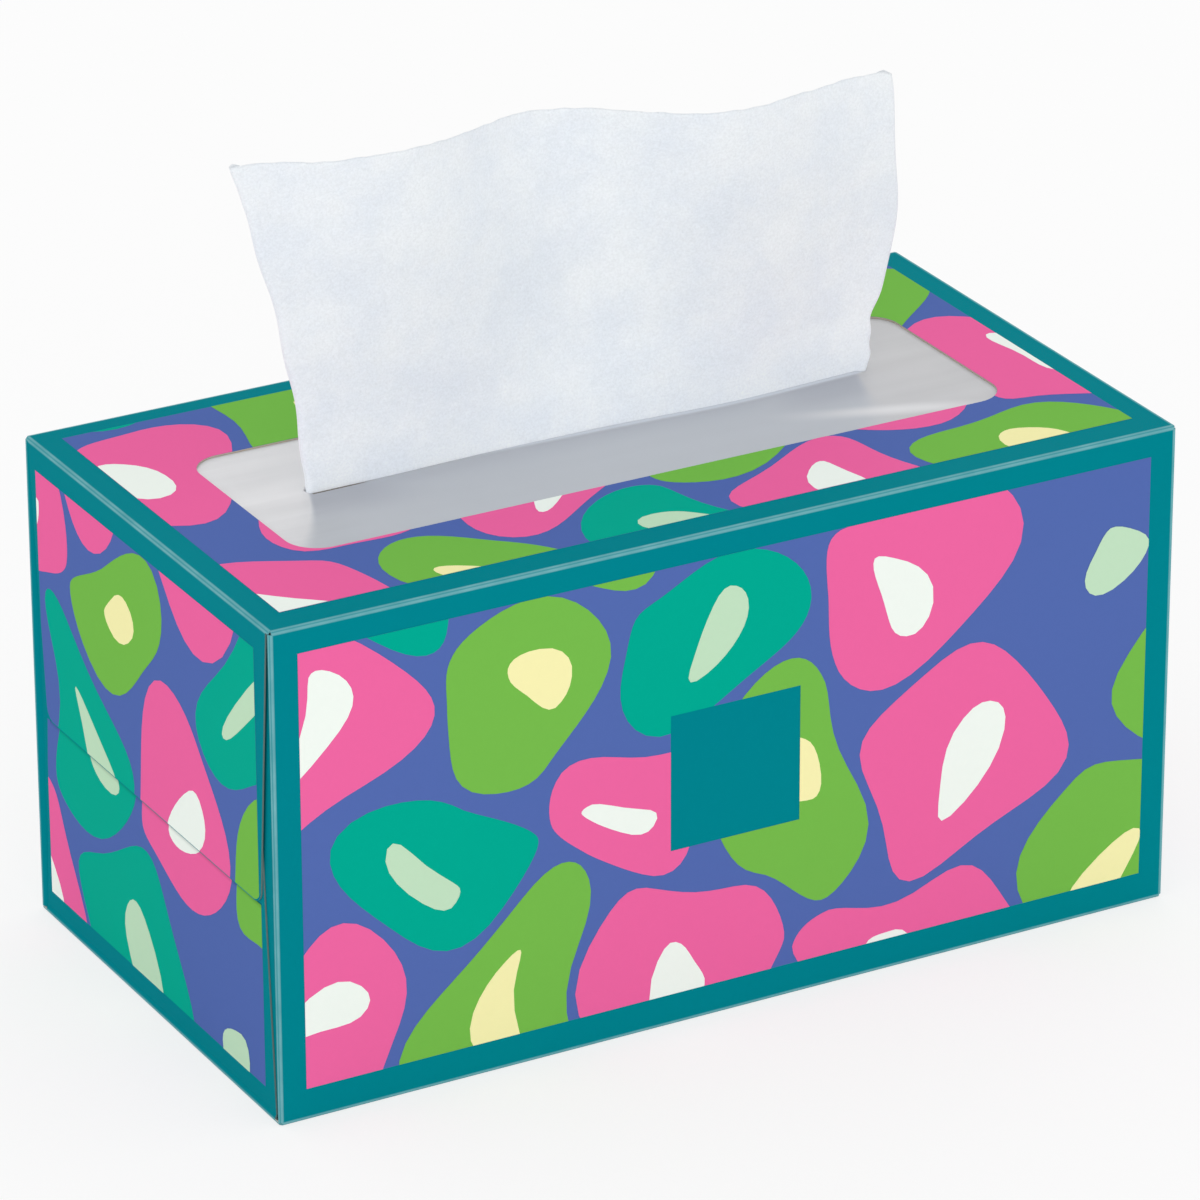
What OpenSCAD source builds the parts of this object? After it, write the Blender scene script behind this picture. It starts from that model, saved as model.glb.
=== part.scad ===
// Tissue box: a printed folding carton with a filmed window in its top, a stack of interfolded
// tissues, and the top sheet drawn up through the slit in the film.
// Millimetres. X runs along the box, the front faces -Y, and the origin is the middle of the base.

/* [Tissues] */
// Width of one sheet, along the box
sheet_width = 213; // [190:1:260]
// Length of one sheet before it is folded in half
sheet_length = 208; // [180:1:240]
// Free height between the stack and the top of the box
headspace = 12; // [10:0.5:20]
// Number of fold bundles that show down the side of the stack
stack_bundles = 18; // [8:1:30]
// Depth of the hollow between two fold bundles
bundle_depth = 1.2; // [0.4:0.1:2]

/* [Carton] */
// Clear room between the stack and the boards at each end
end_clearance = 7.4; // [3:0.1:20]
// Clear room between the stack and the boards at the front and back
side_clearance = 8.65; // [3:0.05:15]
// Height of the closed box, without the raised tissue
box_height = 119.5; // [90:0.5:160]
// Thickness of the folding board
board = 0.4; // [0.3:0.05:0.6]
// Outer radius of every fold
fold_radius = 0.7; // [0.6:0.1:1.2]
// Thickness of a glue line between two boards
glue = 0.05; // [0.04:0.01:0.15]
// Height of the seam flap inside the back panel
seam_height = 16; // [10:1:30]
// How far the seam flap stops short of the ends of the panels
seam_inset = 4; // [2:0.5:8]
// Gap under the cut lower edge of the back panel
cut_gap = 0.3; // [0.1:0.1:0.8]

/* [End flaps] */
// How far the two long flaps of one end overlap
flap_overlap = 16.5; // [10:0.5:30]
// How far the outer long flap is set in at its fold, on each side
flap_inset_root = 1.8; // [1.4:0.1:2]
// How far the inner long flap is set in at its fold, on each side
inner_inset_root = 2.6; // [2.4:0.1:5]
// How far a long flap is set in at its free edge, on each side
flap_inset_tip = 6.8; // [5.2:0.2:10]
// Radius of the free corners of every flap
flap_corner = 3.5; // [1:0.5:6]
// Gap between the two dust flaps of one end
dust_gap = 23; // [10:1:60]
// How far a dust flap narrows towards its free edge, above and below
dust_taper = 4; // [2:0.5:10]
// Gap between the folds of neighbouring flaps at each corner of the box
corner_gap = 0.1; // [0.1:0.05:1]

/* [Window] */
// Width of the board left between the window and each end of the box
window_end_board = 24.2; // [20:0.1:32]
// Width of the board left between the window and the front and back
window_side_board = 32.5; // [24:0.1:36]
// Radius of the window's corners
window_corner = 8; // [3:0.5:15]
// How far the window's middle lies to the right of the box's middle
window_right = 0.7; // [-2:0.1:2]
// How far the window's middle lies behind the box's middle
window_back = 1; // [-2:0.1:3]
// Thickness of the window film
film = 0.08; // [0.05:0.01:0.15]
// How far the film reaches past the window on each side
film_margin = 10; // [6:0.5:14]
// Width of the glue line round the window
film_glue_width = 5; // [3:0.5:5]

/* [Raised tissue] */
// Thickness of the raised two-ply sheet
tissue = 0.3; // [0.2:0.05:0.5]
// Height of the sheet above the top of the box, at its middle
raised_height = 75.6; // [40:0.1:90]
// How much higher the sheet's left top corner is than its right one
raised_slope = 9.1; // [0:0.1:16]
// Clear gap between the sheet and what it lies on or passes
tissue_gap = 0.3; // [0.2:0.05:0.6]
// How far the lying end of the sheet stays in from the back of the stack
lie_inset = 2; // [1:0.5:6]
// Radius of the bend from lying on the stack to standing up
bend_radius = 8; // [7:0.5:8.5]
// Width of the folded-back margin where the sheet leaves the slit
margin_base = 34.6; // [20:0.2:36]
// Width of the folded-back margin at the sheet's top edge
margin_top = 18.1; // [10:0.1:24]
// Angle that a margin turns back through at the slit, in degrees
turn_base = 176; // [170:1:178]
// Angle that a margin turns back through at the top, in degrees
turn_top = 158; // [140:1:170]
// Length of sheet taken up by the turn at a margin
turn_length = 4; // [3:0.5:6]
// How far the folded-back margins hang lower at their free edges, at the top
margin_drop = 10; // [0:0.5:14]
// Steepest angle of the sheet's one long bow at the slit, in degrees
base_bow = 2.8; // [0:0.1:6]
// Steepest angle of its one long bow at the top, in degrees
top_bow = 7.6; // [0:0.1:12]
// Steepest angle of the two waves at the top, in degrees
top_wave = 23.1; // [5:0.1:30]
// Steepest angle of the three smaller waves at the top, in degrees
top_ripple = 3.6; // [0:0.1:8]
// How far the sheet's middle leans to the left at its top
lean_left = 4.4; // [0:0.1:10]
// How far the sheet bulges to the right at half its height
bulge_right = 2.9; // [0:0.1:5]

/* [Slit] */
// How far the slit's middle lies to the left of the box's middle
slit_left = 1.8; // [0:0.1:5]
// How far the line of the raised sheet lies behind the box's middle
slit_back = 1.5; // [0:0.1:2]
// How far the slit opens behind the raised sheet
slit_open = 11; // [10:0.5:13]
// How far the slit reaches past each side of the raised sheet
slit_past = 0.5; // [0.4:0.1:3]
// Width of the slit round each fold of the raised sheet
slit_end = 3.6; // [3.4:0.1:5]
// Length over which the slit widens from its ends to its middle
slit_grow = 22; // [15:1:30]

/* [Print] */
// Thickness of one printed field of colour
ink = 0.04; // [0.03:0.01:0.08]
// Distance between the middles of neighbouring large shapes
shape_pitch = 50; // [40:1:64]
// Share of the pitch that a shape's middle may wander
wander = 0.6; // [0:0.05:0.7]
// Narrowest blue channel between large shapes
channel = 1.6; // [1:0.1:4]
// How far the outlines are bent sideways to look hand-cut
outline_bend = 5; // [0:0.5:7]
// Length of one bend of the outlines
bend_length = 58; // [45:1:90]
// Size of a highlight as a share of its shape
highlight_share = 0.5; // [0.3:0.02:0.6]
// Share of its full width that a highlight keeps
highlight_flatness = 0.5; // [0.3:0.02:0.8]
// How far a highlight may lie off its shape's middle, as a share of the pitch
highlight_wander = 0.06; // [0:0.01:0.08]
// Size of a loose dot as a share of the shape it stands for
dot_scale = 0.34; // [0.2:0.02:0.5]
// Chance that a place has a loose dot instead of a large shape
dot_chance = 0.1; // [0:0.05:0.3]
// Chance that a large shape takes its neighbour's ink
swap_chance = 0.2; // [0:0.05:0.5]
// Side of the plain square left free on the front
label_side = 33.3; // [20:0.1:50]
// How far the plain square's middle lies above the middle of the front
label_above = 0.65; // [-15:0.05:15]
// Width of the plain border at the left and right of the long panels
border_side = 6.7; // [4:0.1:12]
// Height of the plain border at the foot of the front and back
border_foot = 7.8; // [4:0.1:12]
// Height of the plain border at the head of the front and back
border_head = 6.4; // [4:0.1:12]
// Width of the plain border along the front of the top
border_top_front = 8.3; // [4:0.1:12]
// Width of the plain border along the back of the top
border_top_back = 5.8; // [4:0.1:12]
// Width of the plain border along the front side of each end
border_end_front = 7.6; // [7:0.1:14]
// Width of the plain border along the back side of each end
border_end_back = 5.5; // [5:0.1:14]
// Height of the plain border at the head and foot of each end
border_end = 6.5; // [4:0.1:12]

/* [Hidden] */
$fn = 48;

teal = "#01818c";
frosted = "#c9cbcf";
glue_white = "#ece6d2";
paper_white = "#eef1f5";
blue = "#5269ac";
pink = "#eb65a0";
green = "#74b84b";
jade = "#02a78f";
white = "#eef5ee";
cream = "#f5efb1";
mint = "#bfdebf";

// One step from a board's outside to the outside of the board behind it
layer = board + glue;
stack_depth = sheet_length / 2;
box_length = sheet_width + 2 * (end_clearance + 2 * layer + board);
box_depth = stack_depth + 2 * (side_clearance + layer + board);
half_length = box_length / 2;
half_depth = box_depth / 2;
// Half the length of the four panels, up to where the end folds begin
panel_half = half_length - fold_radius;
top_inside = box_height - board;
film_top = top_inside - glue;
flap_length = (box_height + flap_overlap) / 2;
dust_length = half_depth - dust_gap / 2;
flap_edge_height = box_height - flap_length;
// How far the root of a flap runs into the panel that it folds from
flap_root = 0.1;
// How far a dust flap keeps its full width past its fold
flap_shoulder = 3 * fold_radius;
// The fold of a flap starts this far from the neighbouring panels' outsides
corner_start = fold_radius + corner_gap;
// A flap that others lie over bends in under each of them where its side edge is, as
// [how deep, how far past the outside of the panel]
outer_steps = [];
inner_steps = [[layer, flap_inset_root]];
dust_steps = [[layer, flap_inset_root], [2 * layer, inner_inset_root]];
// How far the glue stays back from the edges of the boards that it joins
glue_inset = 2;
// How far a cutting shape reaches past the board that it cuts
cut_past = 1;

stack_top = box_height - headspace;
window_length = box_length - 2 * window_end_board;
window_depth = box_depth - 2 * window_side_board;

// The raised sheet lies on the stack from its back fold to the bend, then stands up
lie_height = stack_top + tissue_gap + tissue / 2;
lie_start = stack_depth / 2 - lie_inset;
lie_length = lie_start - slit_back - bend_radius;
stand_height = lie_height + bend_radius;
stand_length = box_height + raised_height - stand_height;
// Share of the standing height at which the sheet passes the film
film_rise = (film_top - stand_height) / stand_length;
lie_rows = 6;
bend_rows = 4;
stand_rows = 14;
row_count = lie_rows + bend_rows + stand_rows + 1;
margin_steps = 3;
turn_steps = 5;
main_steps = 30;
column_count = 2 * margin_steps + 2 * turn_steps + main_steps + 1;
slit_steps = 72;

// Waves across the sheet: how many, their steepest angle, and their phase in degrees
base_waves = [[1, base_bow, -77]];
top_waves = [[1, top_bow, 223], [2, top_wave, 22], [3, top_ripple, 180]];

// The ink stays this far from the cut edge of a flap
ink_inset = 0.3;
// Rows of a triangular lattice lie this share of the pitch apart
row_pitch = shape_pitch * sqrt(3) / 2;
// No shape reaches further than this many pitches from its middle
room_reach = 1.5;
// Corners of a shape that lie closer than this share of the pitch count as one
corner_merge = 0.14;
// Width of a loose dot as a share of its length
dot_flatness = 0.7;
// How often the corners of a shape are cut
large_passes = 3;
small_passes = 2;
// Inks of the large shapes, and the mark of a place that has a loose dot instead
PINK = 0;
GREEN = 1;
JADE = 2;
DOT = 3;
// Kinds of shape, in the order in which they are printed
GROUND = 0;
LARGE = 1;
SMALL = 2;
// Each panel has a layout of its own
front_seed = 1;
back_seed = 2;
top_seed = 3;
left_seed = 4;
right_seed = 5;

// Carton

// Section of one fold: a quarter ring in the first quadrant about the fold's centre
module fold_quarter() {
    intersection() {
        difference() {
            circle(r = fold_radius);
            circle(r = fold_radius - board);
        }
        square(fold_radius);
    }
}

// Section across the box, drawn with depth along x and height along y
module tube_section() {
    translate([-half_depth + fold_radius, top_inside])
        square([box_depth - 2 * fold_radius, board]);
    translate([half_depth - fold_radius, box_height - fold_radius])
        fold_quarter();
    translate([-half_depth + fold_radius, box_height - fold_radius])
        mirror([1, 0])
            fold_quarter();
    translate([-half_depth, fold_radius])
        square([board, box_height - 2 * fold_radius]);
    translate([-half_depth + fold_radius, fold_radius])
        rotate(180)
            fold_quarter();
    translate([-half_depth + fold_radius, 0])
        square([box_depth - 2 * fold_radius - layer, board]);
    translate([half_depth - layer - fold_radius, fold_radius])
        mirror([0, 1])
            fold_quarter();
    translate([half_depth - board, cut_gap])
        square([board, box_height - fold_radius - cut_gap]);
}

module tube() {
    rotate([90, 0, 90])
        linear_extrude(height = 2 * panel_half, center = true)
            tube_section();
    translate([-panel_half + seam_inset, half_depth - layer - board, fold_radius])
        cube([2 * (panel_half - seam_inset), board, seam_height - fold_radius]);
}

// Outline of a long flap: x across the box, y from its fold to its free edge
module flap_outline(inset_root, inset = 0) {
    reach = flap_length - inset;
    root = half_depth - inset_root - inset;
    tip = half_depth - flap_inset_tip - inset;
    polygon([
        [-half_depth + corner_start, 0], [half_depth - corner_start, 0],
        [half_depth - corner_start, fold_radius], [root, fold_radius],
        [tip, reach - flap_corner], [-tip, reach - flap_corner],
        [-root, fold_radius], [-half_depth + corner_start, fold_radius]
    ]);
    translate([-tip + flap_corner, 0])
        square([2 * (tip - flap_corner), reach]);
    for (side = [-1, 1])
        translate([side * (tip - flap_corner), reach - flap_corner])
            circle(r = flap_corner);
}

// Section of a flap at the right-hand end: x along the box, y away from the outside of its
// panel; past its fold it bends in step by step and then runs on straight to its reach
module flap_section(steps, reach) {
    depth = len(steps) == 0 ? 0 : steps[len(steps) - 1][0];
    outer = concat(
        [[half_length, fold_radius]],
        [for (s = steps) [half_length - s[0], s[1]]],
        [[half_length - depth, reach]]
    );
    translate([panel_half - flap_root, 0])
        square([flap_root, board]);
    translate([panel_half, fold_radius])
        rotate(-90)
            fold_quarter();
    polygon(concat(outer, [for (i = [len(outer) - 1 : -1 : 0]) outer[i] - [board, 0]]));
}

// Long flap that folds up from the bottom panel
module long_flap(steps, inset_root) {
    intersection() {
        rotate([90, 0, 0])
            linear_extrude(height = box_depth, center = true)
                flap_section(steps, flap_length);
        rotate([90, 0, 90])
            linear_extrude(height = box_length)
                flap_outline(inset_root);
    }
}

// Outline of a dust flap: x from the outside of its panel, y up the box
module dust_outline() {
    low = corner_start;
    high = box_height - corner_start;
    tip_low = low + dust_taper;
    tip_high = high - dust_taper;
    polygon([
        [0, low], [flap_shoulder, low], [dust_length - flap_corner, tip_low],
        [dust_length - flap_corner, tip_high], [flap_shoulder, high], [0, high]
    ]);
    translate([0, tip_low + flap_corner])
        square([dust_length, tip_high - tip_low - 2 * flap_corner]);
    for (height = [tip_low + flap_corner, tip_high - flap_corner])
        translate([dust_length - flap_corner, height])
            circle(r = flap_corner);
}

// Dust flap that folds in from the front panel, under both long flaps
module dust_flap() {
    translate([0, -half_depth, 0])
        intersection() {
            linear_extrude(height = box_height)
                flap_section(dust_steps, dust_length);
            rotate([90, 0, 90])
                linear_extrude(height = box_length)
                    dust_outline();
        }
}

module end_flaps() {
    dust_flap();
    mirror([0, 1, 0])
        dust_flap();
    long_flap(inner_steps, inner_inset_root);
    translate([0, 0, box_height])
        mirror([0, 0, 1])
            long_flap(outer_steps, flap_inset_root);
}

module window_outline() {
    inner_length = window_length - 2 * window_corner;
    inner_depth = window_depth - 2 * window_corner;
    translate([window_right, window_back]) {
        square([window_length, inner_depth], center = true);
        square([inner_length, window_depth], center = true);
        for (x = [-inner_length / 2, inner_length / 2])
            for (y = [-inner_depth / 2, inner_depth / 2])
                translate([x, y])
                    circle(r = window_corner);
    }
}

module carton() {
    color(teal)
        difference() {
            union() {
                tube();
                end_flaps();
                mirror([1, 0, 0])
                    end_flaps();
            }
            translate([0, 0, top_inside - cut_past])
                linear_extrude(height = board + 2 * cut_past)
                    window_outline();
        }
}

// Glue lines

module flap_glue() {
    strip_depth = 2 * (half_depth - flap_inset_tip - flap_corner - glue_inset);
    pad_depth = dust_length - flap_corner - 3 * glue_inset - flap_inset_tip;
    pad_height = flap_edge_height - corner_start - dust_taper - 3 * glue_inset;
    color(glue_white)
        for (side = [-1, 1]) {
            middle = side * (half_length - layer + glue / 2);
            inner = side * (half_length - 2 * layer + glue / 2);
            translate([middle, 0, box_height / 2])
                cube([glue, strip_depth, flap_overlap - 2 * glue_inset], center = true);
            for (hand = [-1, 1])
                translate([
                    inner,
                    hand * (half_depth - flap_inset_tip - glue_inset - pad_depth / 2),
                    corner_start + dust_taper + 2 * glue_inset + pad_height / 2
                ])
                    cube([glue, pad_depth, pad_height], center = true);
        }
}

module seam_glue() {
    color(glue_white)
        translate([
            -panel_half + seam_inset + glue_inset, half_depth - layer, fold_radius + glue_inset
        ])
            cube([
                2 * (panel_half - seam_inset - glue_inset), glue,
                seam_height - fold_radius - 2 * glue_inset
            ]);
}

// Rectangle round the window that reaches past it by the given amount
module window_frame(reach) {
    translate([window_right, window_back])
        square([window_length + 2 * reach, window_depth + 2 * reach], center = true);
}

module film_glue() {
    color(glue_white)
        translate([0, 0, film_top])
            linear_extrude(height = glue)
                difference() {
                    window_frame(film_margin - glue_inset);
                    window_frame(film_margin - glue_inset - film_glue_width);
                }
}

// Raised tissue

function ease(t) = let (c = min(max(t, 0), 1)) c * c * (3 - 2 * c);

function total(list) = list * [for (value = list) 1];

// Angle that the waves give the sheet at a share of its width between the folds
function wave_angle(waves, t) = total([for (w = waves) w[1] * sin(360 * w[0] * t + w[2])]);

// One row of the sheet is set by its share of the standing height, its rise, and by how far
// it has gathered: 0 where it lies spread out on the stack, 1 from the bend upwards
function margin_width(rise, gather) =
    turn_length / 2 + (margin_base + (margin_top - margin_base) * rise - turn_length / 2) * gather;

function turn_angle(rise) = turn_base + (turn_top - turn_base) * rise;

// Places along the sheet's width at which one row has its points
function row_stations(m) = let (
        first = m - turn_length / 2,
        last = m + turn_length / 2,
        run = sheet_width - 2 * last
    ) concat(
        [for (i = [0 : margin_steps - 1]) first * i / margin_steps],
        [for (i = [0 : turn_steps - 1]) first + turn_length * i / turn_steps],
        [for (i = [0 : main_steps]) last + run * i / main_steps],
        [for (i = [1 : turn_steps]) sheet_width - last + turn_length * i / turn_steps],
        [for (i = [1 : margin_steps]) sheet_width - first + first * i / margin_steps]
    );

// Heading of a row at one place: 0 runs along the box, and 90 points away from the front
function heading(s, m, rise, gather) = let (
        turn = turn_angle(rise),
        left = ease((s - m) / turn_length + 0.5),
        right = ease((s - sheet_width + m) / turn_length + 0.5),
        t = min(max((s - m) / (sheet_width - 2 * m), 0), 1),
        waves = wave_angle(base_waves, t) * (1 - rise) + wave_angle(top_waves, t) * rise
    ) turn * (left + right - 1) - waves * gather;

// Points of a row as [along, away, heading], walked from edge to edge of the sheet
function row_walk(stations, m, rise, gather) = [
    for (
        i = 0, x = 0, y = 0;
        i < column_count;
        step = i + 1 < column_count ? stations[i + 1] - stations[i] : 0,
        h = heading(stations[i] + step / 2, m, rise, gather),
        x = x + step * cos(h),
        y = y + step * sin(h),
        i = i + 1
    ) [x, y, heading(stations[i], m, rise, gather)]
];

// The stretch of a row between its two folds
function between_folds(row) = [for (i = [0 : main_steps]) row[margin_steps + turn_steps + i]];

// Centred along the box, with the mean depth of the stretch between the folds at 0
function row_curve(m, rise, gather) = let (
        stations = row_stations(m),
        walk = row_walk(stations, m, rise, gather),
        middle = (min([for (p = walk) p[0]]) + max([for (p = walk) p[0]])) / 2,
        mean = total([for (p = between_folds(walk)) p[1]]) / (main_steps + 1)
    ) [for (i = [0 : column_count - 1]) [walk[i][0] - middle, walk[i][1] - mean, walk[i][2], stations[i]]];

// Where the sheet's middle line runs, as [y, z, tilt]: tilt 0 lies flat and 90 stands up
function path(row) = row < lie_rows ?
    [lie_start - lie_length * row / lie_rows, lie_height, 0] :
    row < lie_rows + bend_rows ?
    let (tilt = 90 * (row - lie_rows) / bend_rows) [
        slit_back + bend_radius * (1 - sin(tilt)),
        lie_height + bend_radius * (1 - cos(tilt)),
        tilt
    ] :
    [slit_back, stand_height, 90];

function row_rise(row) = max(row - lie_rows - bend_rows, 0) / stand_rows;

function row_gather(row) = ease(min(row / lie_rows, 1));

// Share of a folded-back margin that lies between its fold and a place on the sheet
function margin_share(s, m) = max(1 - min(s, sheet_width - s) / (m - turn_length / 2), 0);

// How far a row's middle stands to the right of the box's middle
function sway(rise) = -slit_left - lean_left * rise * rise + bulge_right * 4 * rise * (1 - rise);

// Points of one row on one face of the sheet; side is -1 for the front face and 1 for the back
function row_points(row, side) = let (
        rise = row_rise(row),
        gather = row_gather(row),
        m = margin_width(rise, gather),
        at = path(row),
        curve = row_curve(m, rise, gather),
        lowest = min([for (p = curve) p[1]])
    ) [
        for (p = curve) let (
            away = p[1] - lowest * (1 - sin(at[2])) + side * tissue / 2 * cos(p[2]),
            along = p[0] + sway(rise) * gather - side * tissue / 2 * sin(p[2]),
            slope = raised_slope * p[0] / (sheet_width - 2 * margin_top),
            drop = rise > 0 ? margin_drop * margin_share(p[3], m) : 0,
            climb = rise * (stand_length - slope - drop)
        ) [along, at[0] + away * sin(at[2]), at[1] + climb + away * cos(at[2])]
    ];

module raised_tissue() {
    face = row_count * column_count;
    points = concat(
        [for (row = [0 : row_count - 1]) each row_points(row, -1)],
        [for (row = [0 : row_count - 1]) each row_points(row, 1)]
    );
    skins = [
        for (row = [0 : row_count - 2])
            for (col = [0 : column_count - 2])
                let (
                    a = row * column_count + col,
                    b = a + column_count
                )
                each [
                    [a, b, b + 1], [a, b + 1, a + 1],
                    [face + a, face + b + 1, face + b], [face + a, face + a + 1, face + b + 1]
                ]
    ];
    sides = [
        for (row = [0 : row_count - 2])
            let (
                a = row * column_count,
                b = a + column_count,
                c = b - 1,
                d = c + column_count
            )
            each [
                [a, face + b, b], [a, face + a, face + b],
                [c, d, face + d], [c, face + d, face + c]
            ]
    ];
    ends = [
        for (col = [0 : column_count - 2])
            let (
                a = col,
                b = face - column_count + col
            )
            each [
                [a, a + 1, face + a + 1], [a, face + a + 1, face + a],
                [b, face + b + 1, b + 1], [b, face + b, face + b + 1]
            ]
    ];
    color(paper_white)
        polyhedron(points = points, faces = concat(skins, sides, ends));
}

module tissue_stack() {
    pitch = (stack_top - board) / stack_bundles;
    quarters = 4;
    side = [
        for (i = [0 : stack_bundles * quarters])
            let (bulge = abs(sin(180 * i / quarters)))
            [stack_depth / 2 - bundle_depth * (1 - bulge), board + pitch * i / quarters]
    ];
    other = [for (i = [len(side) - 1 : -1 : 0]) [-side[i][0], side[i][1]]];
    color(paper_white)
        rotate([90, 0, 90])
            linear_extrude(height = sheet_width, center = true)
                polygon(concat(side, other));
}

// Window film

// The slit fits closely round the folds of the raised sheet and opens behind its middle
module slit_outline() {
    row = row_curve(margin_width(film_rise, 1), film_rise, 1);
    line = [for (p = between_folds(row)) [p[0], p[1] - tissue / 2 - tissue_gap]];
    half = max([for (p = row) p[0]]) + tissue / 2 + slit_past;
    lips = [
        for (i = [0 : slit_steps])
            let (
                x = -half * cos(180 * i / slit_steps),
                from_end = half - abs(x),
                rounding = sqrt(1 - pow(1 - min(2 * from_end / slit_end, 1), 2)),
                front = lookup(x, line) + slit_end / 2 * (1 - rounding),
                growth = (slit_open - slit_end) * ease((from_end - slit_end) / slit_grow)
            )
            [x, front, front + slit_end * rounding + growth]
    ];
    translate([sway(film_rise), slit_back])
        polygon(concat(
            [for (i = [0 : slit_steps]) [lips[i][0], lips[i][1]]],
            [for (i = [slit_steps - 1 : -1 : 1]) [lips[i][0], lips[i][2]]]
        ));
}

module window_film() {
    color(frosted)
        translate([0, 0, film_top - film])
            linear_extrude(height = film)
                difference() {
                    window_frame(film_margin);
                    slit_outline();
                }
}

// Print

// Repeatable number from 0 to 1 for one place of the lattice
function chance(i, j, k) = let (v = sin(i * 127.1 + j * 311.7 + k * 74.7) * 43758.5453) v - floor(v);

function middle_of(i, j, seed) = [
    shape_pitch * (i + (j % 2 == 0 ? 0 : 0.5) + wander * (chance(i, j, seed) - 0.5)),
    row_pitch * (j + wander * (chance(i, j, seed + 0.5) - 0.5))
];

// What is left of a convex outline on the near side of the line across n at distance d
function trim(outline, n, d) = len(outline) == 0 ? [] : [
    for (k = [0 : len(outline) - 1])
        let (
            a = outline[k],
            b = outline[(k + 1) % len(outline)],
            p = n * a - d,
            q = n * b - d
        )
        each concat(p <= 0 ? [a] : [], p * q < 0 ? [a + (b - a) * p / (p - q)] : [])
];

function trim_all(outline, cuts, k = 0) =
    k == len(cuts) ? outline : trim_all(trim(outline, cuts[k][0], cuts[k][1]), cuts, k + 1);

// Room of one shape: everything nearer to its middle than to its neighbours' middles
function room(i, j, seed) = let (
        c = middle_of(i, j, seed),
        r = room_reach * shape_pitch,
        gap = channel * (0.5 + chance(i, j, seed + 0.2)),
        start = [c + [-r, -r], c + [r, -r], c + [r, r], c + [-r, r]],
        cuts = [
            for (di = [-2 : 2])
                for (dj = [-2 : 2])
                    if (di != 0 || dj != 0)
                        let (
                            o = middle_of(i + di, j + dj, seed),
                            n = (o - c) / norm(o - c)
                        )
                        [n, n * (o + c) / 2 - gap]
        ]
    ) trim_all(start, cuts);

// Leaves out the corners that lie close behind another one
function sparse(outline, least) = [
    for (k = [0 : len(outline) - 1])
        if (norm(outline[k] - outline[(k + 1) % len(outline)]) > least)
            outline[k]
];

// Cuts every corner again and again, which leaves a soft pebble outline
function soften(outline, passes) = passes == 0 ? outline : soften([
    for (k = [0 : len(outline) - 1])
        let (
            a = outline[k],
            b = outline[(k + 1) % len(outline)]
        )
        each [a + (b - a) * 0.25, a + (b - a) * 0.75]
], passes - 1);

function average(outline) = [
    for (axis = [0, 1])
        [for (p = outline) p[axis]] * [for (p = outline) 1] / len(outline)
];

function bend(p, seed) = p + outline_bend * [
    sin(360 * (p[1] / bend_length + chance(1, 2, seed))),
    sin(360 * (p[0] / bend_length + chance(2, 1, seed)))
];

function turned(p, angle) = [p[0] * cos(angle) - p[1] * sin(angle), p[0] * sin(angle) + p[1] * cos(angle)];

// Smaller copy of an outline about its middle, flattened across an angle and moved a little
function squeezed(outline, scale, flatness, angle, offset) = let (c = average(outline)) [
    for (p = outline)
        let (q = turned(p - c, -angle) * scale)
        c + turned([q[0], q[1] * flatness] + offset, angle)
];

// Inks in turn over the lattice, with some places given to loose dots
function ink_of(i, j, seed) = let (
        q = i - floor(j / 2),
        swap = chance(i, j, seed + 0.7) < swap_chance ? 1 : 0,
        turn = q + 2 * j + swap
    ) chance(i, j, seed + 0.9) < dot_chance ? DOT : turn - 3 * floor(turn / 3);

function dot_ink(i, j, seed) = floor(3 * chance(i, j, seed + 0.4));

function pebble(i, j, seed, passes) =
    soften(sparse(room(i, j, seed), shape_pitch * corner_merge), passes);

module shape(points, seed) {
    polygon([for (p = points) bend(p, seed)]);
}

module large_shapes(which, size, seed) {
    for (i = [-1 : ceil(size[0] / shape_pitch) + 1])
        for (j = [-1 : ceil(size[1] / row_pitch) + 1])
            if (ink_of(i, j, seed) == which)
                shape(pebble(i, j, seed, large_passes), seed);
}

module small_shapes(which, size, seed) {
    for (i = [-1 : ceil(size[0] / shape_pitch) + 1])
        for (j = [-1 : ceil(size[1] / row_pitch) + 1]) {
            outline = pebble(i, j, seed, small_passes);
            angle = 180 * chance(i, j, seed + 0.3);
            off = shape_pitch * highlight_wander * (2 * chance(i, j, seed + 0.6) - 1);
            if (ink_of(i, j, seed) == which)
                shape(squeezed(outline, highlight_share, highlight_flatness, angle, [off, off]), seed);
            if (ink_of(i, j, seed) == DOT && dot_ink(i, j, seed) == which)
                shape(squeezed(outline, dot_scale, dot_flatness, angle, [0, 0]), seed);
        }
}

// One ink's share of the design, cut to a panel's field from corner low to corner high
module design(kind, which, low, high, seed) {
    size = high - low;
    intersection() {
        translate(low)
            square(size);
        translate(low) {
            if (kind == GROUND)
                square(size);
            if (kind == LARGE)
                large_shapes(which, size, seed);
            if (kind == SMALL)
                small_shapes(which, size, seed);
        }
    }
}

// Both ends have the design on two levels: the outer flap, and the flap that shows below it
module end_design(kind, which, seed, hand) {
    low = [hand < 0 ? -half_depth + border_end_back : -half_depth + border_end_front, border_end];
    high = [
        hand < 0 ? half_depth - border_end_front : half_depth - border_end_back,
        box_height - border_end
    ];
    lift = half_length + kind * ink;
    rotate([90, 0, hand * 90]) {
        translate([0, 0, lift])
            linear_extrude(height = ink)
                intersection() {
                    design(kind, which, low, high, seed);
                    translate([0, box_height])
                        mirror([0, 1])
                            flap_outline(flap_inset_root, ink_inset);
                }
        translate([0, 0, lift - layer])
            linear_extrude(height = ink)
                intersection() {
                    design(kind, which, low, high, seed);
                    translate([-half_depth, 0])
                        square([box_depth, flap_edge_height - ink_inset]);
                    flap_outline(inner_inset_root, ink_inset);
                }
    }
}

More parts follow.
